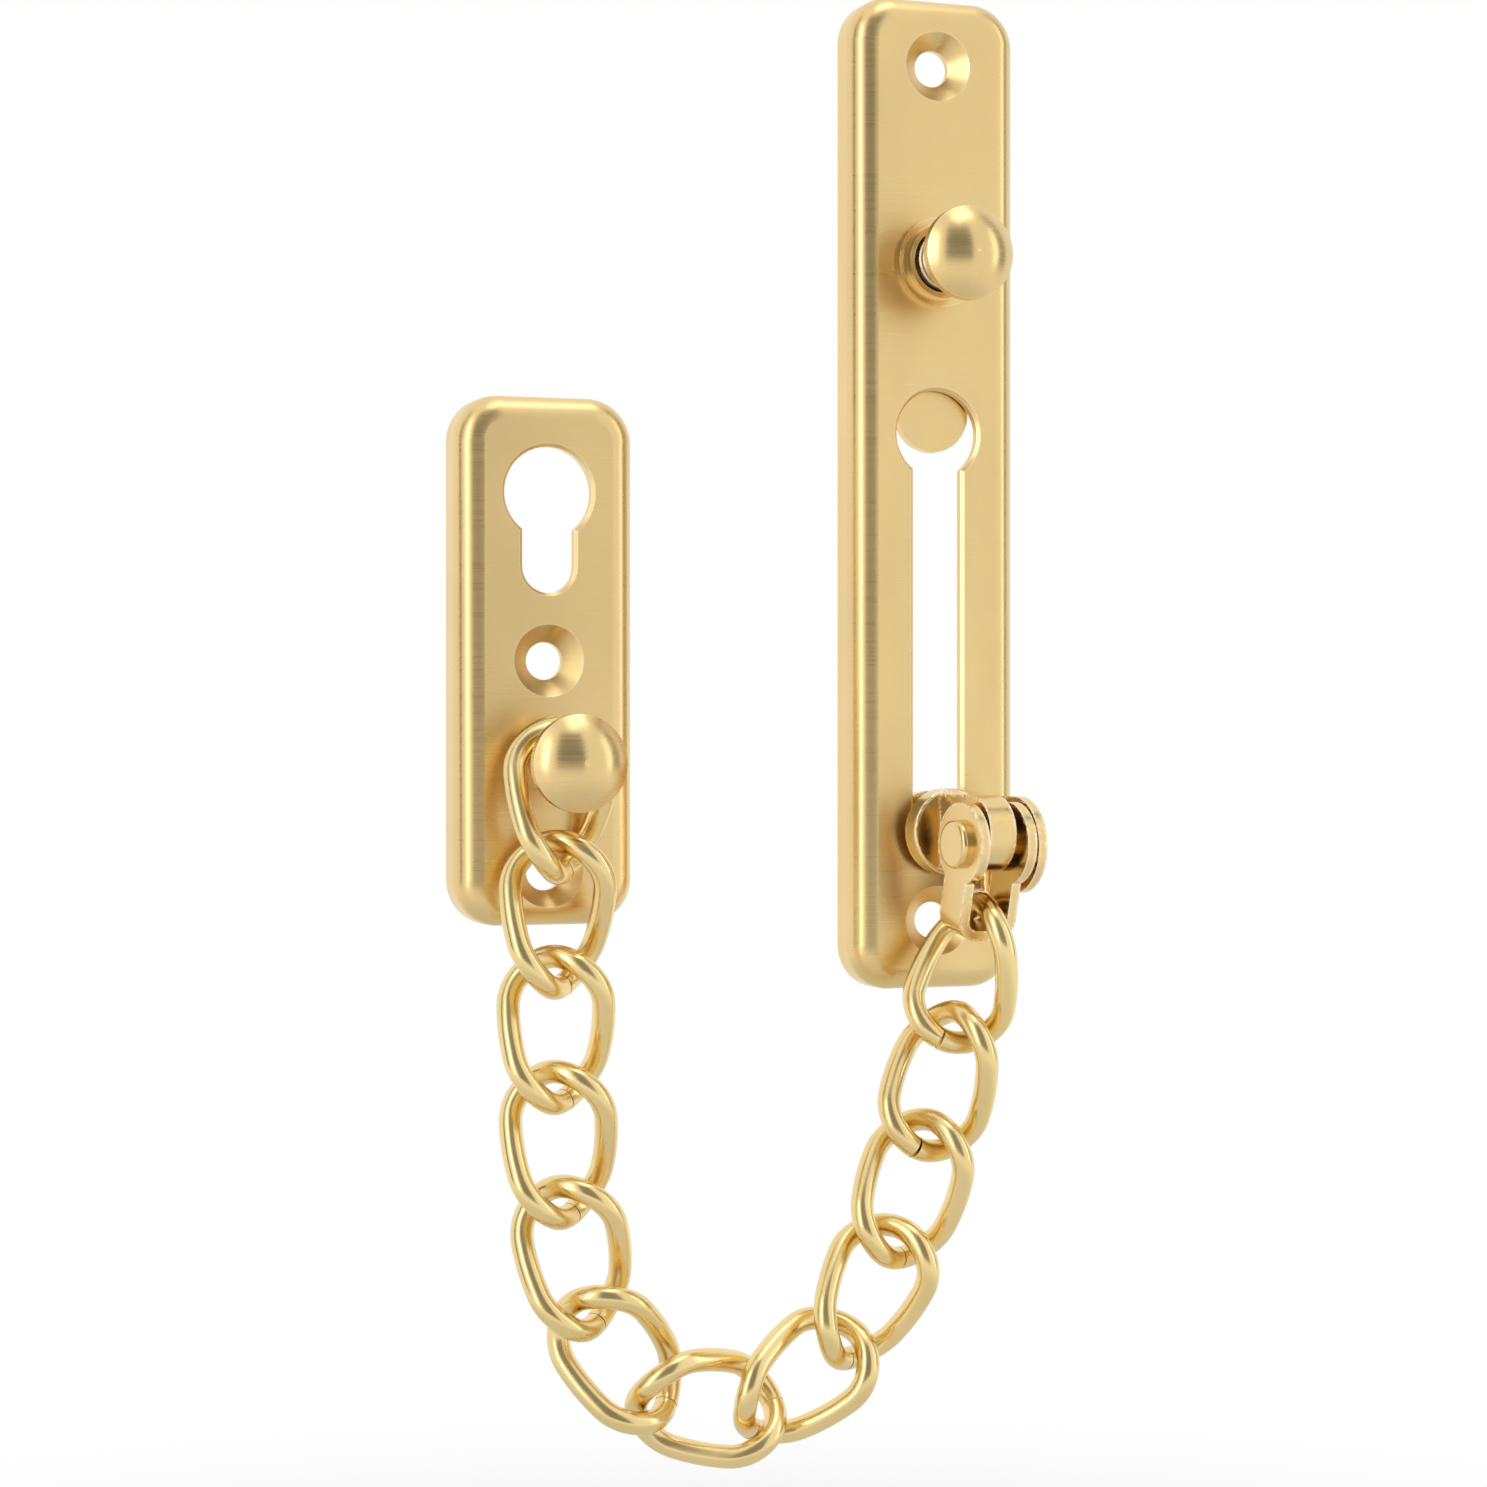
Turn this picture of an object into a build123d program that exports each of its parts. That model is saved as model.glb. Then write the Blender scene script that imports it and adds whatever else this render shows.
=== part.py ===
from build123d import *
import math
import os

# Driving dimensions in millimetres and degrees.
# The front of the part looks along -y, the wall lies behind it, and z is up.
# The origin is midway between the slide plate's screw holes, where their lands end at the back.

# cover plates
plate_width = 21.5
plate_height = 5.8
sheet = 1.4
fold_radius = 3.0
corner_radius = 5.3
slide_length = 120.0
anchor_length = 61.5
plate_spacing = 49.2
anchor_drop = 20.6
edge_round = 0.35

# screw holes, dished for countersunk wood screws
screw_hole = 4.4
screw_dish = 8.4
screw_land = 0.9
slide_screw_reach = 51.7
anchor_screw_low = -24.5

# keyhole track and parking keyhole
slot_width = 6.3
entry_diameter = 10.6
entry_height = 7.2
slot_foot = -40.85
park_entry_height = 19.5
park_foot = 11.0

# anchor stud
stud_height = -11.8
stud_stem = 5.2
stud_neck = 4.2
stud_reach = 10.2
knob_diameter = 11.1
knob_rim = 1.5
knob_dome = 2.3
knob_skirt = 1.3
tail_diameter = 7.6
tail_thick = 0.9

# release button, its eyelet, spring and tongue
button_height = 27.9
button_reach = 7.6
button_stem = 4.2
eyelet_flange = 10.9
eyelet_step = 9.0
eyelet_spigot = 6.8
eyelet_flange_thick = 0.9
eyelet_height = 2.0
eyelet_floor = 0.5
spring_wire = 0.8
spring_mean = 6.4
spring_turns = 5
tongue_width = 9.4
tongue_thick = 1.1
tongue_low = 5.1
tongue_tail = 0.5

# slider
slider_turn = 7.0
inner_head = 9.6
inner_head_thick = 1.0
neck_diameter = 5.7
collar_diameter = 10.4
collar_thick = 2.4
lug_thick = 3.6
lug_tall = 9.0
lug_reach = 14.8
rivet_reach = 11.2
rivet_drop = 1.2

# fork and rivet
fork_gap = 5.2
fork_sheet = 1.25
fork_head = 9.8
fork_leg = 4.8
fork_drop = 11.3
fork_bend = 1.3
fork_lean = 14.0
rivet_shank = 3.0
rivet_head = 5.8
rivet_head_thick = 1.2
rivet_tail = 4.8
rivet_tail_thick = 0.8

# chain
link_count = 12
link_wire = 2.7
link_inner_length = 14.1
link_inner_width = 8.2
link_twist = 45.0
link_points = 16
link_runs = 28
seam_gap = 0.3
seam_place = 0.47
loop_lean = -7.0
rope_smoothing = 2
rope_pull = 0.7
rope_turn = 0.55
rope_step = 1e-6
rope_rounds = 60
turned_links = 3
stud_roll = 15.0

# clearances
slack = 0.3
running = 0.1
link_slack = 0.95
web_clear = 1.5
stud_clear = 0.4

# places worked out from the sizes above
dish_depth = (screw_dish - screw_hole) / 2
face_y = -dish_depth - screw_land
wall_y = face_y + plate_height
sheet_back_y = face_y + sheet
anchor_x = -plate_spacing
stud_z = stud_height - anchor_drop
link_pitch = link_inner_length - link_slack
inner_gap = slack + inner_head / 2 * math.sin(math.radians(slider_turn))
collar_gap = slack + collar_diameter / 2 * math.sin(math.radians(slider_turn))


def along_y(radius, y_near, y_far, x=0.0, z=0.0):
    """A round bar whose axis runs along y, from y_near to y_far."""
    middle = (y_near + y_far) / 2
    bar = Cylinder(radius, abs(y_far - y_near), rotation=(90, 0, 0))
    return Pos(x, middle, z) * bar


def along_x(radius, x_low, x_high):
    """A round bar whose axis runs along x."""
    return Pos((x_low + x_high) / 2, 0, 0) * Cylinder(radius, x_high - x_low, rotation=(0, 90, 0))


def turned(points, x=0.0, z=0.0):
    """A body turned about an axis along y, from corners given as radius and y."""
    outline = Polyline(*[(r, y) for r, y in points], close=True)
    return Pos(x, 0, z) * revolve(make_face(outline), axis=Axis.Y)


# Cover plates: deep-drawn shells, open at the back

def shell_plate(length):
    """A drawn cover with rounded corners and a soft front fold."""
    block = Pos(0, wall_y - plate_height / 2, 0) * Box(plate_width, plate_height, length)
    block = fillet(block.edges().filter_by(Axis.Y), corner_radius)
    front = block.faces().sort_by(Axis.Y)[0]
    block = fillet(front.edges(), fold_radius)
    back = block.faces().sort_by(Axis.Y)[-1]
    return offset(block, amount=-sheet, openings=back)


def dished_hole(plate, z):
    """Presses a screw dish into a plate and pierces it."""
    end_y = face_y + dish_depth + screw_land
    lip = sheet / 2
    outer = screw_dish / 2 + lip
    boss = turned([(0, face_y + lip), (outer, face_y + lip), (outer, sheet_back_y),
                   (screw_hole / 2 + lip, end_y), (0, end_y)], z=z)
    dish = turned([(0, face_y), (screw_dish / 2, face_y), (screw_hole / 2, face_y + dish_depth),
                   (screw_hole / 2, end_y), (0, end_y)], z=z)
    return plate + boss - dish


def keyhole(plate, entry_z, foot_z):
    """Cuts a round entry with a slot running down from it, and breaks its front edge."""
    entry = along_y(entry_diameter / 2, face_y, sheet_back_y, z=entry_z)
    foot = along_y(slot_width / 2, face_y, sheet_back_y, z=foot_z)
    middle = Pos(0, (face_y + sheet_back_y) / 2, (entry_z + foot_z) / 2)
    track = middle * Box(slot_width, sheet, entry_z - foot_z)
    plate = plate - (entry + foot + track)
    rim = [e for e in plate.edges() if on_front_rim(e, entry_z, foot_z)]
    return chamfer(rim, edge_round)


def on_front_rim(edge, entry_z, foot_z):
    box = edge.bounding_box()
    flat = abs(box.min.Y - face_y) < edge_round / 10 and abs(box.max.Y - face_y) < edge_round / 10
    inside = max(abs(box.min.X), abs(box.max.X)) < entry_diameter / 2 + edge_round
    above = box.min.Z > foot_z - slot_width / 2 - edge_round
    below = box.max.Z < entry_z + entry_diameter / 2 + edge_round
    return flat and inside and above and below


def make_slide_plate():
    plate = shell_plate(slide_length)
    plate = keyhole(plate, entry_height, slot_foot)
    for z in (slide_screw_reach, -slide_screw_reach):
        plate = dished_hole(plate, z)
    return plate - along_y(eyelet_spigot / 2, face_y, sheet_back_y, z=button_height)


def make_anchor_plate():
    plate = shell_plate(anchor_length)
    plate = keyhole(plate, park_entry_height, park_foot)
    for z in (0, anchor_screw_low):
        plate = dished_hole(plate, z)
    plate = plate - along_y(stud_neck / 2, face_y, sheet_back_y, z=stud_height)
    return Pos(anchor_x, 0, -anchor_drop) * plate


# Turned knobs: a low dome on a rim, with a tapered skirt down to the stem

def knob_outline(stem_radius, under_y):
    """Corners of a knob from the stem out to the rim, its front at the lowest y."""
    rim = knob_diameter / 2
    soft = knob_rim / 5
    back_y = under_y - knob_skirt / 2
    front_y = back_y - knob_rim
    return [(stem_radius, under_y), (rim - knob_skirt, under_y), (rim, back_y),
            (rim, front_y + soft), (rim - soft, front_y)]


def knob(stem_radius, under_y, stem_end_y, z, x=0.0):
    """A domed knob with a plain stem back to stem_end_y."""
    corners = knob_outline(stem_radius, under_y)
    rim_r, rim_y = corners[-1]
    top = (0, rim_y - knob_dome)
    side = Polyline((0, stem_end_y), (stem_radius, stem_end_y), *corners)
    rise = (rim_r ** 2 + knob_dome ** 2) / (2 * knob_dome)
    centre_y = top[1] + rise
    half_way = math.asin(min(1.0, rim_r / rise)) / 2
    middle = (rise * math.sin(half_way), centre_y - rise * math.cos(half_way))
    dome = ThreePointArc((rim_r, rim_y), middle, top)
    axis = Line(top, (0, stem_end_y))
    outline = make_face(Wire([*side.edges(), dome.edge(), axis.edge()]))
    return Pos(x, 0, z) * revolve(outline, axis=Axis.Y)


def make_anchor_stud():
    """The stud: knob and stem in front, a neck through the sheet and a riveted tail behind."""
    body = knob(stud_stem / 2, face_y - stud_reach, face_y, stud_z, anchor_x)
    neck = along_y(stud_neck / 2, face_y, sheet_back_y + tail_thick, anchor_x, stud_z)
    tail = along_y(tail_diameter / 2, sheet_back_y, sheet_back_y + tail_thick, anchor_x, stud_z)
    return body + neck + tail


# Release button: eyelet, knob with stem, coil spring and tongue

def make_button_bushing():
    bore = button_stem / 2 + running
    well = spring_mean / 2 + spring_wire / 2 + slack
    flange_y = face_y - eyelet_flange_thick
    return turned([(bore, sheet_back_y), (eyelet_spigot / 2, sheet_back_y), (eyelet_spigot / 2, face_y),
                   (eyelet_flange / 2, face_y), (eyelet_flange / 2, flange_y), (eyelet_step / 2, flange_y),
                   (eyelet_step / 2, face_y - eyelet_height), (well, face_y - eyelet_height),
                   (well, face_y - eyelet_floor), (bore, face_y - eyelet_floor)], z=button_height)


def tongue_front():
    return sheet_back_y + slack


def tail_radius():
    return button_stem / 2 - slack


def make_release_button():
    seat_y = tongue_front()
    tail_y = seat_y + tongue_thick + tongue_tail
    body = knob(button_stem / 2, face_y - button_reach, seat_y, button_height)
    shank = along_y(tail_radius(), seat_y, tail_y, z=button_height)
    rivet = along_y(button_stem / 2 + tongue_tail, seat_y + tongue_thick, tail_y, z=button_height)
    return body + shank + rivet


def make_latch_tongue():
    """A flat tongue with round ends: one holds the button's tail, the other closes the entry hole."""
    half = tongue_width / 2
    low = tongue_low + half
    seat_y = tongue_front()
    blade = Pos(0, seat_y + tongue_thick / 2, (low + button_height) / 2) * Box(
        tongue_width, tongue_thick, button_height - low)
    ends = [along_y(half, seat_y, seat_y + tongue_thick, z=z) for z in (low, button_height)]
    return blade + ends - along_y(tail_radius(), seat_y, seat_y + tongue_thick, z=button_height)


def make_button_spring():
    """A coil spring between the eyelet's floor and the underside of the knob."""
    room = button_reach - eyelet_floor - spring_wire
    pitch = room / spring_turns
    coil = Helix(pitch, room, spring_mean / 2)
    section = Plane(origin=coil @ 0, z_dir=coil % 0) * Circle(spring_wire / 2)
    wound = sweep(section, path=coil, is_frenet=True)
    seat_y = face_y - eyelet_floor - spring_wire / 2
    return Pos(0, seat_y, button_height) * Rot(90, 0, 0) * wound


# Slider: head behind the slot, neck in it, collar and lug in front, turned a little as it hangs

def in_slot(shape):
    """Moves a shape from the slider's own frame, where y = 0 is the plate's face, into the slot."""
    pivot = Pos(0, face_y + sheet / 2, slot_foot)
    return pivot * Rot(0, 0, slider_turn) * Pos(0, -sheet / 2, 0) * shape


def slider_point(x, y, z):
    """A point of the slider's own frame, in the part's frame."""
    return in_slot(Vertex(x, y, z)).center()


def make_slider():
    head_y = sheet + inner_gap
    head = along_y(inner_head / 2, head_y, head_y + inner_head_thick)
    neck = along_y(neck_diameter / 2, -collar_gap, head_y)
    collar = along_y(collar_diameter / 2, -collar_gap - collar_thick, -collar_gap)
    collar = fillet(collar.edges().sort_by(Axis.Y)[0], edge_round)
    root_y = -collar_gap - collar_thick
    nose = lug_tall / 2
    bar_y = -lug_reach + nose
    bar = Pos(0, (root_y + bar_y) / 2, 0) * Box(lug_thick, root_y - bar_y, lug_tall)
    tip = Pos(0, bar_y, 0) * along_x(nose, -lug_thick / 2, lug_thick / 2)
    hole = Pos(0, -rivet_reach, -rivet_drop) * along_x(rivet_shank / 2 + running, -lug_thick, lug_thick)
    return in_slot(head + neck + collar + bar + tip - hole)


# Fork: a strip folded to a U over the lug, with a rivet through both cheeks

def at_rivet(shape):
    """Moves a shape from the fork's own frame, with the rivet at its origin, onto the slider."""
    return in_slot(Pos(0, -rivet_reach, -rivet_drop) * Rot(fork_lean, 0, 0) * shape)


def fork_point(x, y, z):
    return at_rivet(Vertex(x, y, z)).center()


def fork_section():
    """Front view of the folded strip: a U with bent corners."""
    outer = fork_gap / 2 + fork_sheet
    top = fork_head / 2
    tall = top + fork_drop
    middle = Pos(0, 0, (top - fork_drop) / 2)
    bulk = middle * Box(2 * outer, fork_head, tall)
    low = [e for e in bulk.edges().filter_by(Axis.Y) if e.center().Z < 0]
    bulk = fillet(low, fork_bend + fork_sheet)
    room = Pos(0, 0, fork_sheet) * middle * Box(fork_gap, fork_head, tall)
    low = [e for e in room.edges().filter_by(Axis.Y) if e.center().Z < 0]
    return bulk - fillet(low, fork_bend)


def make_fork():
    outer = fork_gap / 2 + fork_sheet
    head = along_x(fork_head / 2, -outer, outer)
    leg = Pos(0, 0, -fork_drop / 2) * Box(2 * outer, fork_leg, fork_drop)
    strip = fork_section() & (head + leg)
    return at_rivet(strip - along_x(rivet_shank / 2, -outer, outer))


def make_fork_rivet():
    outer = fork_gap / 2 + fork_sheet
    shank = along_x(rivet_shank / 2, -outer, outer)
    head = along_x(rivet_head / 2, -outer - rivet_head_thick, -outer)
    head = fillet(head.edges().sort_by(Axis.X)[0], rivet_head_thick / 2)
    tail = along_x(rivet_tail / 2, outer, outer + rivet_tail_thick)
    tail = fillet(tail.edges().sort_by(Axis.X)[-1], rivet_tail_thick / 2)
    return at_rivet(shank + head + tail)


# Chain: twisted links hung between the stud and the fork like a slack rope

def chain_ends():
    """Where the first link hangs on the stud and where the last one hangs in the fork."""
    hook = stud_stem / 2 + stud_clear - link_slack / 2
    first = Vector(anchor_x, face_y - stud_reach / 2 - running, stud_z + hook)
    web = fork_drop - fork_sheet - web_clear + link_slack / 2
    return first, fork_point(0, 0, -web)


def rope_leans(pull, turn):
    """Lean of each link, in radians from hanging straight down, for a sideways pull and a turning place."""
    raw = [math.atan2(pull, turn - i - 0.5) for i in range(link_count)]
    for _ in range(rope_smoothing):
        before, after = [raw[0]] + raw[:-1], raw[1:] + [raw[-1]]
        raw = [(a + 2 * b + c) / 4 for a, b, c in zip(before, raw, after)]
    return [lean + math.radians(loop_lean) for lean in raw]


def rope_span(pull, turn):
    leans = rope_leans(pull, turn)
    return link_pitch * sum(map(math.sin, leans)), -link_pitch * sum(map(math.cos, leans))


def hang_rope(run, rise):
    """Finds the pull and turning place whose links just reach over run and rise."""
    pull, turn, step = rope_pull, rope_turn * link_count, rope_step
    for _ in range(rope_rounds):
        a, b = rope_span(pull, turn)
        a1, b1 = rope_span(pull + step, turn)
        a2, b2 = rope_span(pull, turn + step)
        m11, m12, m21, m22 = (a1 - a) / step, (a2 - a) / step, (b1 - b) / step, (b2 - b) / step
        det = m11 * m22 - m12 * m21
        dp = ((run - a) * m22 - (rise - b) * m12) / det
        dt = ((rise - b) * m11 - (run - a) * m21) / det
        pull = max(pull / 2, pull + dp)
        turn = turn + max(-1, min(1, dt))
    return rope_leans(pull, turn)


def link_rolls():
    """Each end of the chain is turned so that its last link sits square on the stud or in the fork."""
    rolls = [0.0] * link_count
    rolls[0], rolls[1] = stud_roll, stud_roll / 2
    for i in range(turned_links):
        rolls[-1 - i] = link_twist * (turned_links - i) / turned_links
    return rolls


def chain_route():
    """The hanging places between links, and each link's lean, in the chain's own upright plane."""
    first, last = chain_ends()
    run = math.hypot(last.X - first.X, last.Y - first.Y)
    across = Vector((last.X - first.X) / run, (last.Y - first.Y) / run, 0)
    leans = hang_rope(run, last.Z - first.Z)
    places = [first]
    for lean in leans:
        step = across * (link_pitch * math.sin(lean)) - Vector(0, 0, link_pitch * math.cos(lean))
        places.append(places[-1] + step)
    return places, leans, across


def oval_point(share):
    """A point of a link's centre line, as its offset and height before twisting, share from 0 to 1."""
    end_radius = (link_inner_width + link_wire) / 2
    straight = (link_inner_length + link_wire) / 2 - end_radius
    quarter = math.pi * end_radius / 2
    half = 2 * quarter + 2 * straight
    flip = 1 if share < 0.5 else -1
    s = (share % 0.5) * 2 * half
    if s < quarter:
        angle = math.pi / 2 - s / end_radius
        x, z = end_radius * math.cos(angle), straight + end_radius * math.sin(angle)
    elif s < quarter + 2 * straight:
        x, z = end_radius, straight - (s - quarter)
    else:
        angle = -(s - quarter - 2 * straight) / end_radius
        x, z = end_radius * math.cos(angle), end_radius * math.sin(angle) - straight
    return flip * x, flip * z


def make_link():
    """One curb link: round wire laid in short runs round a twisted oval, with its ends butted near the foot."""
    reach = (link_inner_length + link_wire) / 2
    points = []
    for k in range(link_points):
        x, z = oval_point((seam_place + k / link_points) % 1)
        twist = math.radians(link_twist) * z / reach
        points.append(Vector(x * math.cos(twist), -x * math.sin(twist), z))
    loop = Edge.make_spline(points, periodic=True)
    half_gap = seam_gap / loop.length / 2
    path = loop.trim(half_gap, 1 - half_gap)
    runs = Polyline(*[path @ (k / link_runs) for k in range(link_runs + 1)])
    wire_end = Plane(origin=runs @ 0, z_dir=runs % 0) * Circle(link_wire / 2)
    return sweep(wire_end, path=runs, transition=Transition.RIGHT)


def place_links():
    """Copies of the link, each between its two hanging places."""
    places, leans, across = chain_route()
    facing = Vector(0, 0, 1).cross(across)
    link = make_link()
    placed = []
    for i, roll in enumerate(link_rolls()):
        up = (places[i] - places[i + 1]).normalized()
        side = facing.cross(up)
        frame = Plane(origin=(places[i] + places[i + 1]) / 2, x_dir=side, z_dir=up)
        seam_low = Rot(0, 0, 0) if up.Z > 0 else Rot(180, 0, 0)
        placed.append(frame.location * Rot(0, 0, roll) * seam_low * link)
    return placed


def build_nodes():
    nodes = {
        "slide_plate": make_slide_plate(),
        "anchor_plate": make_anchor_plate(),
        "anchor_stud": make_anchor_stud(),
        "button_bushing": make_button_bushing(),
        "release_button": make_release_button(),
        "latch_tongue": make_latch_tongue(),
        "button_spring": make_button_spring(),
        "slider": make_slider(),
        "fork": make_fork(),
        "fork_rivet": make_fork_rivet(),
    }
    for number, link in enumerate(place_links(), 1):
        nodes[f"link_{number}"] = link
    return nodes


os.makedirs("parts", exist_ok=True)
for name, shape in build_nodes().items():
    export_step(shape, f"parts/{name}.step")
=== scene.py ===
import bpy
import math
import numpy as np
from mathutils import Matrix, Vector


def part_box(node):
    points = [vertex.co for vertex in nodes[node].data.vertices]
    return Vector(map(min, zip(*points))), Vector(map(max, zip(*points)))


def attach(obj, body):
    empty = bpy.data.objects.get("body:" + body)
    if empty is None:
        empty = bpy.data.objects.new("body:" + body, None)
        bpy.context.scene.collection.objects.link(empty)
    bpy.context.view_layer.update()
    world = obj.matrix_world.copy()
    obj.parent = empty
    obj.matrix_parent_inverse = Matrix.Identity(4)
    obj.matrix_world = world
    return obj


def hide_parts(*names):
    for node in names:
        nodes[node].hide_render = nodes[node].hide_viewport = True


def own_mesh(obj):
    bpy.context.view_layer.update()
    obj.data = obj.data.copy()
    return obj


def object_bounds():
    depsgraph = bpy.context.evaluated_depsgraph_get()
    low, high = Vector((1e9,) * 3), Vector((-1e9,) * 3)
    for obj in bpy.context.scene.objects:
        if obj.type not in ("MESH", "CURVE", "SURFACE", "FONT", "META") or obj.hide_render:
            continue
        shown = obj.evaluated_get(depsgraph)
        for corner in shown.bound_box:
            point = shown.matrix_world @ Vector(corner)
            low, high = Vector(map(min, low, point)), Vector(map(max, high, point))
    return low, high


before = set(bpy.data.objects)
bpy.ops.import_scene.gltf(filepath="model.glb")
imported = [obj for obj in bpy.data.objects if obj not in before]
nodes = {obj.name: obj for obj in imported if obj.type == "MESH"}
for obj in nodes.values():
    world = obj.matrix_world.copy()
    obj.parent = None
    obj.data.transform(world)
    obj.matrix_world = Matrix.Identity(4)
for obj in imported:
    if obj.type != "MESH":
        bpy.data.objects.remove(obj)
cad_box = [list(corner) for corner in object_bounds()]


# Slide plate: the long cover, drawn from brass sheet and pierced with the keyhole track.
# Its face is brushed straight across and plated in satin gold, and its fold is rubbed a little brighter.
# Two dished holes take countersunk wood screws.
def new_finish(name):
    """An empty metal finish, with its node tree and its shader."""
    finish = bpy.data.materials.new(name)
    finish.use_nodes = True
    shader = finish.node_tree.nodes["Principled BSDF"]
    shader.inputs["Metallic"].default_value = 1.0
    return finish, finish.node_tree, shader


def add(tree, kind, sockets=None, **settings):
    """One node, with its settings and the values of its sockets."""
    node = tree.nodes.new(kind)
    for key, value in settings.items():
        setattr(node, key, value)
    for key, value in (sockets or {}).items():
        node.inputs[key].default_value = value
    return node


def grain_of(tree, per_metre, detail=3.0, crumble=0.6):
    """Noise with so many grains in a metre along x, y and z. Unequal counts draw it into brush lines."""
    place = add(tree, "ShaderNodeTexCoord")
    squeeze = add(tree, "ShaderNodeMapping", {"Scale": per_metre})
    noise = add(tree, "ShaderNodeTexNoise", {"Scale": 1.0, "Detail": detail, "Roughness": crumble})
    tree.links.new(place.outputs["Object"], squeeze.inputs["Vector"])
    tree.links.new(squeeze.outputs["Vector"], noise.inputs["Vector"])
    return noise.outputs["Fac"]


def between(tree, value, low, high, start=0.3, end=0.7):
    """Spreads a value from start to end over low to high."""
    limits = {"From Min": start, "From Max": end, "To Min": low, "To Max": high}
    span = add(tree, "ShaderNodeMapRange", limits)
    tree.links.new(value, span.inputs["Value"])
    return span.outputs["Result"]


# A mix node's colour sockets are found by number, because its other sockets have the same names.
first_colour = 6
second_colour = 7
mixed_colour = 2


def tint(tree, share, first, second):
    """A colour between two others, each a colour or the output of a node."""
    mix = add(tree, "ShaderNodeMix", data_type="RGBA")
    tree.links.new(share, mix.inputs["Factor"])
    for place, colour in ((first_colour, first), (second_colour, second)):
        socket = mix.inputs[place]
        if isinstance(colour, tuple):
            socket.default_value = (*colour, 1.0)
        else:
            tree.links.new(colour, socket)
    return mix.outputs[mixed_colour]


edge_rays = 4
flat_match = 0.995
edge_match = 0.90


def rubbed_edges(tree, width):
    """Near 1 on the outer edges, over a band of this width in metres, and 0 on the flats."""
    soft = add(tree, "ShaderNodeBevel", {"Radius": width}, samples=edge_rays)
    true = add(tree, "ShaderNodeNewGeometry")
    dot = add(tree, "ShaderNodeVectorMath", operation="DOT_PRODUCT")
    tree.links.new(soft.outputs["Normal"], dot.inputs[0])
    tree.links.new(true.outputs["Normal"], dot.inputs[1])
    return between(tree, dot.outputs["Value"], 0.0, 1.0, start=flat_match, end=edge_match)


teeth_per_metre = (1900.0, 1900.0, 1900.0)
glint_mask_start = 0.42
glint_mask_end = 0.60
# Painted glint: a pale colour laid on the highest sheared teeth, standing in for highlights sparkling on
# the cut rim.
painted_glint_tone = (1.0, 0.93, 0.72)


def torn_edges(tree, edges):
    """Small teeth along the edges, where a press has sheared the metal. They dent the edge and also mask
    where the painted glint goes.
    """
    teeth = add(tree, "ShaderNodeMath", operation="MULTIPLY")
    tree.links.new(grain_of(tree, teeth_per_metre, detail=1.0), teeth.inputs[0])
    tree.links.new(edges, teeth.inputs[1])
    return teeth.outputs["Value"]


clouds_per_metre = (90.0, 90.0, 45.0)
cloud_shade = 0.90
rub_gain = 0.35
grain_gain = 0.12
smoother = 0.04
rougher = 0.05
groove_strength = 0.3
brush_lay = {"X": 0.05, "Y": 0.1, "Z": 1.0}


def satin_gold(name, tone, per_metre, roughness, groove, brushed=0.0, edge=0.0003, ragged=False):
    """Plated brass, with fine grain and a slightly cloudy tone.

    Its edges are rubbed brighter, and ragged too where a press has cut them, with a painted glint on the
    sheared teeth.
    """
    finish, tree, shader = new_finish(name)
    deep = tuple(cloud_shade * part for part in tone)
    bright = tuple(part + rub_gain * (1 - part) for part in tone)
    grain = grain_of(tree, per_metre)
    cloud = grain_of(tree, clouds_per_metre, detail=2.0)
    colour = tint(tree, between(tree, cloud, 0.0, 1.0), tone, deep)
    colour = tint(tree, between(tree, grain, 0.0, grain_gain), colour, bright)
    edges = rubbed_edges(tree, edge)
    colour = tint(tree, edges, colour, bright)
    height = grain
    if ragged:
        height = torn_edges(tree, edges)
        # Painted glint: the highest teeth are tinted pale, standing in for highlights on the sheared rim.
        painted_glint_mask = between(tree, height, 0.0, 1.0, start=glint_mask_start, end=glint_mask_end)
        colour = tint(tree, painted_glint_mask, colour, painted_glint_tone)
    gloss = between(tree, grain, roughness - smoother, roughness + rougher)
    tree.links.new(colour, shader.inputs["Base Color"])
    tree.links.new(gloss, shader.inputs["Roughness"])
    shader.inputs["Anisotropic"].default_value = brushed
    lay = add(tree, "ShaderNodeCombineXYZ", brush_lay)
    tree.links.new(lay.outputs["Vector"], shader.inputs["Tangent"])
    dent = add(tree, "ShaderNodeBump", {"Strength": groove_strength, "Distance": groove})
    tree.links.new(height, dent.inputs["Height"])
    tree.links.new(dent.outputs["Normal"], shader.inputs["Normal"])
    return finish


crisp_angle = math.radians(32)


def dress(piece, finish):
    """One finish all over a piece, with smooth shading that keeps its flats flat and its edges crisp."""
    piece.data.materials.clear()
    piece.data.materials.append(finish)
    piece.data.shade_smooth()
    piece.modifiers.new("crisp edges", "EDGE_SPLIT").split_angle = crisp_angle
    piece.modifiers.new("flat flats", "WEIGHTED_NORMAL").keep_sharp = True


gold = (0.86, 0.63, 0.275)
plate_gold = satin_gold("brushed plate gold", gold, per_metre=(60.0, 60.0, 5200.0),
                        roughness=0.30, groove=0.00001, brushed=0.5)
dress(nodes["slide_plate"], plate_gold)


# Anchor plate: the short cover for the door frame, drawn and brushed like the long one.
# A small keyhole parks the slider when the chain is off the door.
dress(nodes["anchor_plate"], plate_gold)


# Anchor stud: a domed knob turned from brass bar, its tail riveted behind the short plate.
# Its dome is brushed across like the plates, and the first link hangs on its stem.
knob_tone = (0.84, 0.615, 0.27)
knob_gold = satin_gold("brushed knob gold", knob_tone, per_metre=(80.0, 80.0, 4200.0),
                       roughness=0.27, groove=0.000012, brushed=0.6)
dress(nodes["anchor_stud"], knob_gold)


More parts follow.
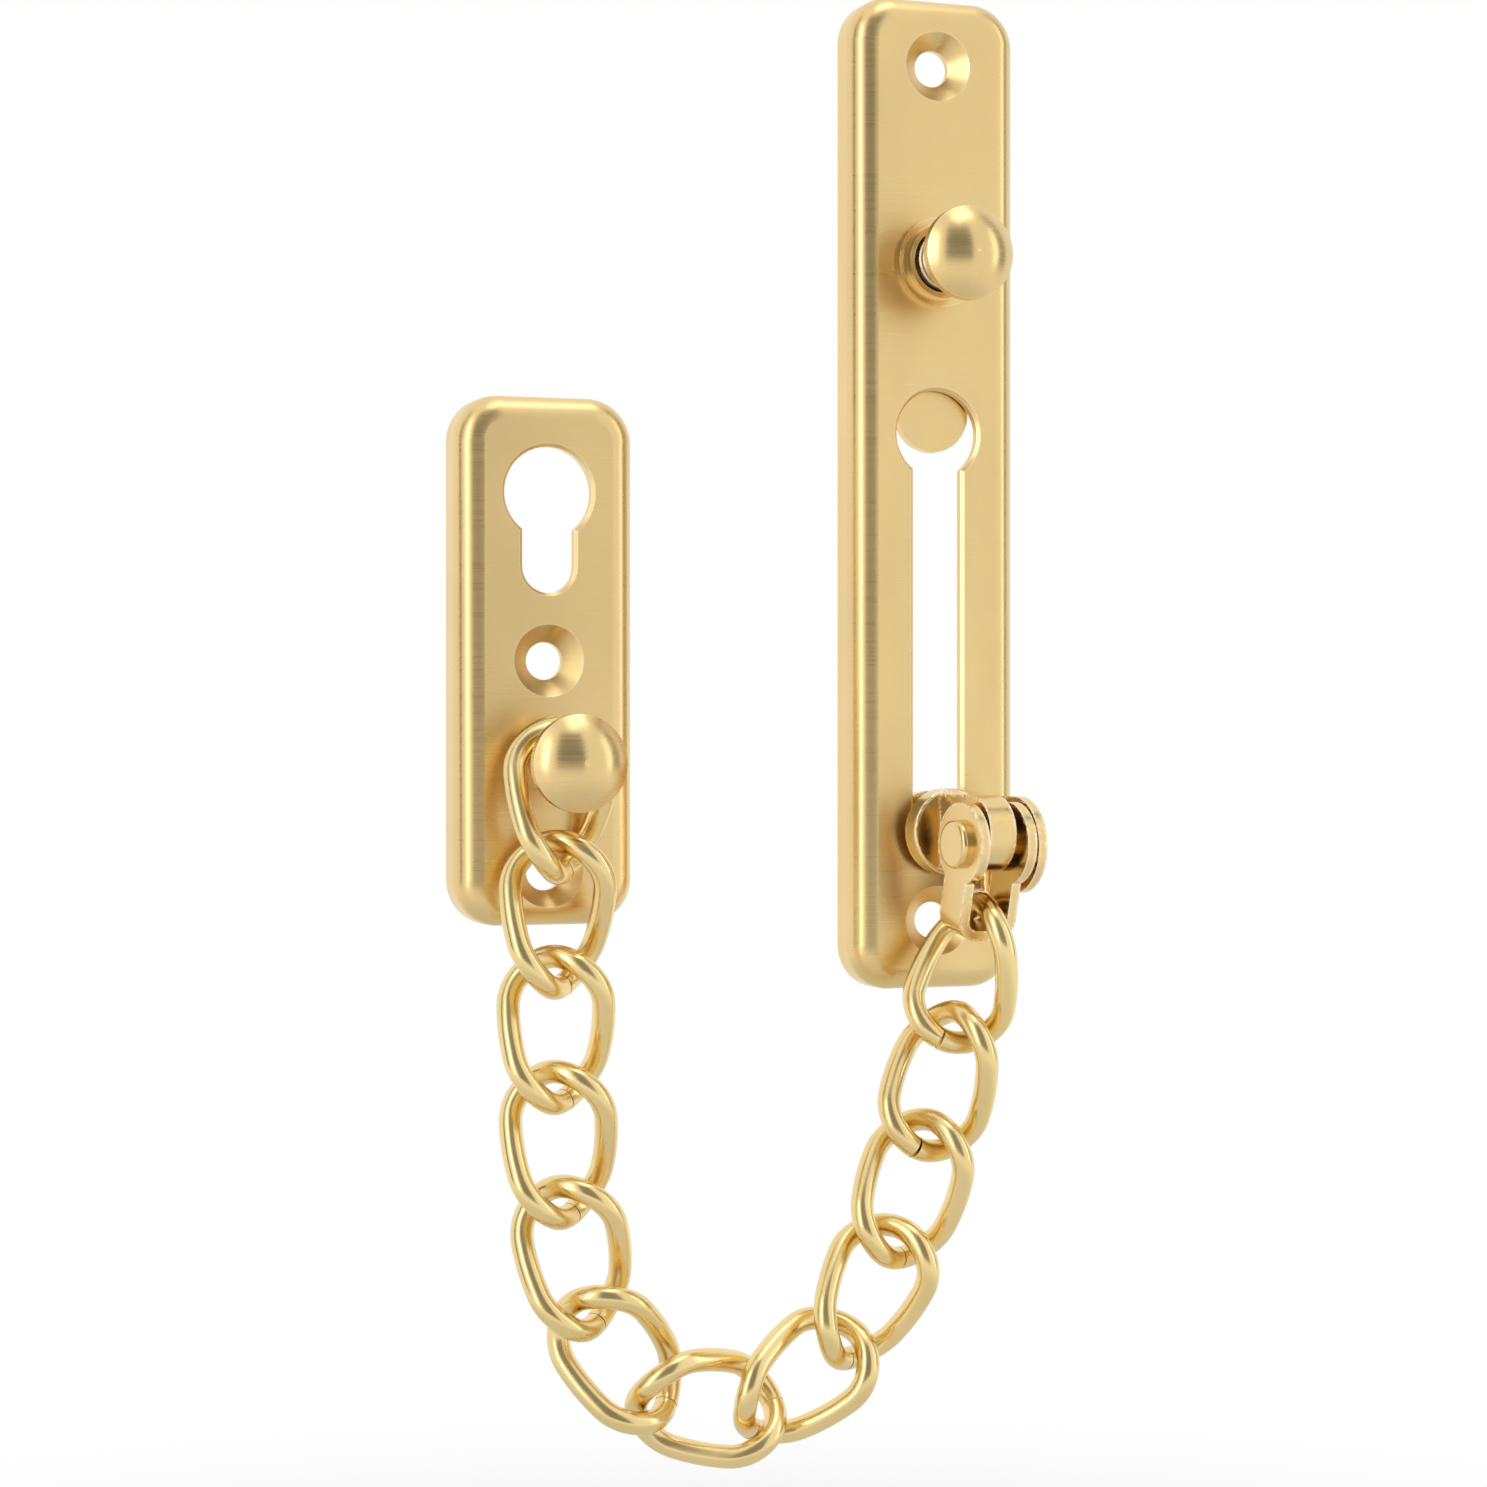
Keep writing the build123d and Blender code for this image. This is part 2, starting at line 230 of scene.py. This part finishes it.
# Release button: a knob like the stud's, on a stem that slides in an eyelet pressed into the long plate.
# The eyelet is turned in two steps. A flat brass tongue riveted to the stem's tail closes the entry hole.
turned_gold = satin_gold("turned eyelet gold", gold, per_metre=(900.0, 3000.0, 900.0),
                         roughness=0.20, groove=0.00002)
dress(nodes["button_bushing"], turned_gold)
dress(nodes["release_button"], knob_gold)
dress(nodes["latch_tongue"], plate_gold)


# Button spring: hard drawn wire wound in open coils, with a closed coil at each end.
# It stands on the eyelet's floor round the stem and shortens when the button is pressed.
coil_low, coil_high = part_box("button_spring")
coil_axis = (coil_low + coil_high) / 2
wire = 0.0008
wire_ring = 10
coil_turns = 6
coil_steps = 30
spring_tone = (0.60, 0.50, 0.35)


def coil_height(share):
    """How far up the spring the wire has climbed: slowly over the closed end coils, evenly between them."""
    closed = 1.0 / coil_turns
    lift = wire / (coil_high.y - coil_low.y - wire)
    if share < closed:
        return lift * share / closed
    if share > 1 - closed:
        return 1 - lift * (1 - share) / closed
    return lift + (1 - 2 * lift) * (share - closed) / (1 - 2 * closed)


def drawn_wire(name, centres, thick, ring):
    """A wire's surface as a new object: rings square to its centre line, closed by a cap at each end."""
    last = len(centres) - 1
    side = (centres[1] - centres[0]).orthogonal()
    points, faces = [], []
    for step, centre in enumerate(centres):
        ahead = (centres[min(step + 1, last)] - centres[max(step - 1, 0)]).normalized()
        side = (side - ahead * side.dot(ahead)).normalized()
        over = ahead.cross(side)
        for k in range(ring):
            angle = 2 * math.pi * k / ring
            points.append(centre + (side * math.cos(angle) + over * math.sin(angle)) * thick / 2)
    for step in range(last):
        for k in range(ring):
            a, b = step * ring + k, step * ring + (k + 1) % ring
            faces.append((a, b, b + ring, a + ring))
    faces += [tuple(range(ring))[::-1], tuple(range(last * ring, (last + 1) * ring))]
    mesh = bpy.data.meshes.new(name)
    mesh.from_pydata(points, [], faces)
    piece = bpy.data.objects.new(name, mesh)
    bpy.context.scene.collection.objects.link(piece)
    return piece


def coil_line():
    """The spring's centre line, from the eyelet's floor out to the knob."""
    radius = (coil_high.x - coil_low.x - wire) / 2
    tall = coil_high.y - coil_low.y - wire
    count = coil_turns * coil_steps
    centres = []
    for step in range(count + 1):
        turn = 2 * math.pi * coil_turns * step / count
        x = coil_axis.x + radius * math.cos(turn)
        y = coil_high.y - wire / 2 - tall * coil_height(step / count)
        z = coil_axis.z + radius * math.sin(turn)
        centres.append(Vector((x, y, z)))
    return centres


coil_spring = drawn_wire("coil_spring", coil_line(), wire, wire_ring)
spring_finish = satin_gold("drawn spring wire", spring_tone, per_metre=(700.0, 700.0, 700.0),
                           roughness=0.24, groove=0.00002)
dress(coil_spring, spring_finish)
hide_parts("button_spring")
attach(coil_spring, "plates")
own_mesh(coil_spring)


# Slider: a headed piece that runs in the slot, with a collar, a lug and a round ear on the right.
# It is blanked from brass plate in a press, so its cut edges stay sheared and a little ragged, and their
# teeth carry a painted glint.
# The ear is made here: it is folded forward from the collar and keeps the fork from swinging round.
sheared_gold = satin_gold("sheared gold", gold, per_metre=(1500.0, 1500.0, 1500.0),
                          roughness=0.22, groove=0.0009, edge=0.0007, ragged=True)
slider_turn = math.radians(7.0)
slider_pivot = Vector((0.0, -0.0022, -0.04085))
half_sheet = 0.0007
ear_sheet = 0.0012
ear_start = 0.0036
ear_inner = 0.00525
ear_radius = 0.0058
ear_reach = 0.0085
ear_drop = 0.0015
ear_bend = 0.0012
ear_root = 0.00155
ear_tip = ear_sheet / 8
ear_edge = 0.00015
edge_steps = 2
bend_steps = 8
disc_steps = 14


def ear_line():
    """The middle of the ear's sheet seen from above, each point with its half width.

    It runs out of the collar, round the bend and forward to the round tip.
    """
    wall = ear_inner + ear_sheet / 2
    line = [(ear_start, -ear_root, ear_radius)]
    for k in range(bend_steps + 1):
        angle = math.pi / 2 * k / bend_steps
        x = wall - ear_bend * (1 - math.sin(angle))
        y = -ear_root - ear_bend * (1 - math.cos(angle))
        line.append((x, y, ear_radius))
    for k in range(disc_steps + 1):
        angle = math.pi / 2 * k / disc_steps
        half = max(ear_radius * math.cos(angle), ear_tip)
        line.append((wall, -ear_reach - ear_radius * math.sin(angle), half))
    return line


def fold_ear():
    """The ear as a strip of sheet, turned with the slider, with its thickness and its sheared edge."""
    turn = Matrix.Rotation(slider_turn, 3, "Z")
    points = []
    for x, y, half in ear_line():
        for z in (-ear_drop - half, -ear_drop + half):
            points.append(slider_pivot + turn @ Vector((x, y - half_sheet, z)))
    faces = [(k, k + 1, k + 3, k + 2) for k in range(0, len(points) - 2, 2)]
    mesh = bpy.data.meshes.new("slider_ear")
    mesh.from_pydata(points, [], faces)
    ear = bpy.data.objects.new("slider_ear", mesh)
    bpy.context.scene.collection.objects.link(ear)
    plate = ear.modifiers.new("sheet", "SOLIDIFY")
    plate.thickness = ear_sheet
    plate.offset = 0.0
    edge = ear.modifiers.new("sheared edge", "BEVEL")
    edge.width = ear_edge
    edge.segments = edge_steps
    return ear


slider_ear = fold_ear()
dress(nodes["slider"], sheared_gold)
dress(slider_ear, sheared_gold)
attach(slider_ear, "slider")


# Fork: a brass strip folded to a U over the slider's lug, so that the chain can swing.
# One rivet goes through both cheeks, with a flat head on the left and a peened tail on the right.
# The fork's cut edges carry the same painted glint.
dress(nodes["fork"], sheared_gold)
dress(nodes["fork_rivet"], turned_gold)


# Chain: curb links bent from round brass wire, each twisted about its own length and butted near its foot.
# They are tumbled to a soft polish and plated like the rest.
# Each is drawn here as one smooth bend in its solid's place, which has the same oval in short runs.
chain_tone = (0.91, 0.70, 0.315)
chain_gold = satin_gold("polished chain gold", chain_tone, per_metre=(300.0, 300.0, 300.0),
                        roughness=0.22, groove=0.000005)
link_count = 12
link_wire = 0.0027
link_inner_width = 0.0082
link_inner_length = 0.0141
link_twist = math.radians(45.0)
link_seam = 0.0003
seam_place = 0.47
link_stations = 120
link_ring = 18


def link_axes(node):
    """The middle of a link and its axes across, through and along it, from the faces of its solid."""
    count = len(node.data.polygons)
    middles, areas = np.empty(count * 3), np.empty(count)
    node.data.polygons.foreach_get("center", middles)
    node.data.polygons.foreach_get("area", areas)
    middles = middles.reshape(-1, 3)
    middle = np.average(middles, axis=0, weights=areas)
    _, axes = np.linalg.eigh(np.cov((middles - middle).T, aweights=areas))
    across, along = Vector(axes[:, 1]), Vector(axes[:, 2])
    if along.z < 0:
        along.negate()
    return Vector(middle), across, along.cross(across), along


def oval_point(travel):
    """A point of the link's oval before it is twisted: across and along, after this travel from the top."""
    radius = (link_inner_width + link_wire) / 2
    straight = (link_inner_length + link_wire) / 2 - radius
    quarter = math.pi * radius / 2
    half = 2 * (quarter + straight)
    flip = 1 if travel % (2 * half) < half else -1
    rest = travel % half
    if rest < quarter:
        angle = math.pi / 2 - rest / radius
        return flip * radius * math.cos(angle), flip * (straight + radius * math.sin(angle))
    if rest < quarter + 2 * straight:
        return flip * radius, flip * (straight - rest + quarter)
    angle = (rest - quarter - 2 * straight) / radius
    return flip * radius * math.cos(angle), -flip * (straight + radius * math.sin(angle))


def link_line(node):
    """The centre line of a link, from one butted end round to the other."""
    middle, across, through, along = link_axes(node)
    reach = (link_inner_length + link_wire) / 2
    around = 2 * (math.pi * (link_inner_width + link_wire) / 2 + link_inner_length - link_inner_width)
    centres = []
    for step in range(link_stations + 1):
        travel = seam_place * around + link_seam / 2 + (around - link_seam) * step / link_stations
        x, z = oval_point(travel)
        twist = link_twist * z / reach
        centres.append(middle + across * x * math.cos(twist) - through * x * math.sin(twist) + along * z)
    return centres


for number in range(1, link_count + 1):
    name = f"link_{number}"
    link = drawn_wire(f"bent_{name}", link_line(nodes[name]), link_wire, link_ring)
    dress(link, chain_gold)
    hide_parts(name)
    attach(link, name)


# Floor: a plain pale sheet below the part, which fades into the white of the room.
# It keeps the soft shadow right under the part.
part_middle = Vector((-0.023, 0.0, -0.03))
floor_half = 3.0
floor_drop = 0.06
floor_grey = (0.9, 0.9, 0.9, 1.0)
shadow_reach = 0.08
white_reach = 0.32


def seen_white(tree):
    """1 for rays from the camera, from shiny metal and through glass, which see the room as plain white."""
    path = add(tree, "ShaderNodeLightPath")
    either = add(tree, "ShaderNodeMath", operation="MAXIMUM")
    any_of = add(tree, "ShaderNodeMath", operation="MAXIMUM")
    tree.links.new(path.outputs["Is Camera Ray"], either.inputs[0])
    tree.links.new(path.outputs["Is Glossy Ray"], either.inputs[1])
    tree.links.new(either.outputs["Value"], any_of.inputs[0])
    tree.links.new(path.outputs["Is Transmission Ray"], any_of.inputs[1])
    return any_of.outputs["Value"]


def pale_floor():
    """Matt near the part, where the shadow falls, and as white as the room further out."""
    finish, tree, shader = new_finish("pale floor")
    shader.inputs["Metallic"].default_value = 0.0
    shader.inputs["Roughness"].default_value = 0.8
    shader.inputs["Base Color"].default_value = floor_grey
    glow = add(tree, "ShaderNodeEmission", {"Strength": 1.0})
    place = add(tree, "ShaderNodeTexCoord")
    far = add(tree, "ShaderNodeVectorMath", operation="LENGTH")
    tree.links.new(place.outputs["Object"], far.inputs[0])
    limits = {"From Min": shadow_reach, "From Max": white_reach}
    fade = add(tree, "ShaderNodeMapRange", limits, interpolation_type="SMOOTHSTEP")
    tree.links.new(far.outputs["Value"], fade.inputs["Value"])
    share = add(tree, "ShaderNodeMath", operation="MULTIPLY")
    tree.links.new(fade.outputs["Result"], share.inputs[0])
    tree.links.new(seen_white(tree), share.inputs[1])
    mix = add(tree, "ShaderNodeMixShader")
    tree.links.new(share.outputs["Value"], mix.inputs["Fac"])
    tree.links.new(shader.outputs["BSDF"], mix.inputs[1])
    tree.links.new(glow.outputs["Emission"], mix.inputs[2])
    tree.links.new(mix.outputs["Shader"], tree.nodes["Material Output"].inputs["Surface"])
    return finish


def flat_sheet(name, half, high):
    """A flat rectangle as a new mesh, from its half width and half height."""
    corners = [(-half, -high, 0), (half, -high, 0), (half, high, 0), (-half, high, 0)]
    mesh = bpy.data.meshes.new(name)
    mesh.from_pydata(corners, [], [(0, 1, 2, 3)])
    return mesh


floor_mesh = flat_sheet("floor", floor_half, floor_half)
floor = bpy.data.objects.new("floor", floor_mesh)
floor.location = (part_middle.x, part_middle.y, cad_box[0][2] - floor_drop)
bpy.context.scene.collection.objects.link(floor)
floor_mesh.materials.append(pale_floor())


# Room: white all round, with soft boxes on the right, on the left and above.
# Tall grey cards give the metal its dark bands: one by the camera, one to the left and one to the right.
plain_white = (1.0, 1.0, 1.0, 1.0)
room_level = 0.7
card_height = 3.2
card_distance = 1.0


def white_room():
    """Plain white to the eye and in the metal, and a little dimmer as light."""
    room = bpy.data.worlds.new("white room")
    bpy.context.scene.world = room
    room.use_nodes = True
    tree = room.node_tree
    tree.nodes.clear()
    out = add(tree, "ShaderNodeOutputWorld")
    white = add(tree, "ShaderNodeBackground", {"Color": plain_white, "Strength": 1.0})
    dim = add(tree, "ShaderNodeBackground", {"Color": plain_white, "Strength": room_level})
    pick = add(tree, "ShaderNodeMixShader")
    tree.links.new(seen_white(tree), pick.inputs["Fac"])
    tree.links.new(dim.outputs["Background"], pick.inputs[1])
    tree.links.new(white.outputs["Background"], pick.inputs[2])
    tree.links.new(pick.outputs["Shader"], out.inputs["Surface"])


def towards(heading, distance, height):
    """A place seen from the part: heading in degrees from straight in front, growing to the left."""
    angle = math.radians(heading)
    return part_middle + Vector((-math.sin(angle) * distance, -math.cos(angle) * distance, height))


def face_part(thing, place):
    """Puts a lamp or a card in its place, turned towards the part."""
    thing.location = place
    thing.rotation_euler = (part_middle - place).to_track_quat("-Z", "Y").to_euler()
    bpy.context.scene.collection.objects.link(thing)


def soft_box(name, place, wide, tall, level):
    """A lamp with an even face, whose level is how bright it looks beside the white of the room."""
    lamp = bpy.data.lights.new(name, "AREA")
    lamp.shape = "RECTANGLE"
    lamp.size = wide
    lamp.size_y = tall
    lamp.energy = level * math.pi * wide * tall
    face_part(bpy.data.objects.new(name, lamp), place)


def grey_card(name, heading, wide, level):
    """A tall card that only shiny metal sees."""
    mesh = flat_sheet(name, wide / 2, card_height / 2)
    finish, tree, _ = new_finish(name)
    felt = add(tree, "ShaderNodeEmission", {"Color": (level, level, level, 1.0), "Strength": 1.0})
    tree.links.new(felt.outputs["Emission"], tree.nodes["Material Output"].inputs["Surface"])
    mesh.materials.append(finish)
    card = bpy.data.objects.new(name, mesh)
    face_part(card, towards(heading, card_distance, 0.0))
    card.visible_camera = card.visible_diffuse = card.visible_shadow = False


white_room()
soft_box("right strip", towards(heading=-62.0, distance=0.9, height=0.2), wide=0.16, tall=0.9, level=1.0)
soft_box("left strip", towards(heading=62.0, distance=0.9, height=0.1), wide=0.14, tall=1.2, level=2.8)
soft_box("top box", towards(heading=-30.0, distance=0.2, height=0.9), wide=0.5, tall=0.3, level=1.8)
grey_card("camera card", heading=14.0, wide=1.0, level=0.28)
grey_card("left card", heading=96.0, wide=0.20, level=0.06)
grey_card("right card", heading=-80.0, wide=0.34, level=0.40)


# Camera: the photograph's own viewpoint, from the left and level with the middle of the part.
# It looks almost level, which keeps the plates' edges upright.
photo_pixels = 1487.0
focal_pixels = 3300.0
film_width = 36.0
eye = Vector((-0.16297, -0.36843, -0.02891))
target = Vector((-0.022957, 0.0029, -0.030242))
sight = bpy.data.cameras.new("photo camera")
sight.sensor_width = film_width
sight.lens = film_width * focal_pixels / photo_pixels
sight.clip_start = 0.01
sight.clip_end = 20.0
viewer = bpy.data.objects.new("photo camera", sight)
viewer.location = eye
viewer.rotation_euler = (target - eye).to_track_quat("-Z", "Y").to_euler()
bpy.context.scene.collection.objects.link(viewer)
bpy.context.scene.camera = viewer
bpy.context.scene.view_settings.view_transform = "Standard"
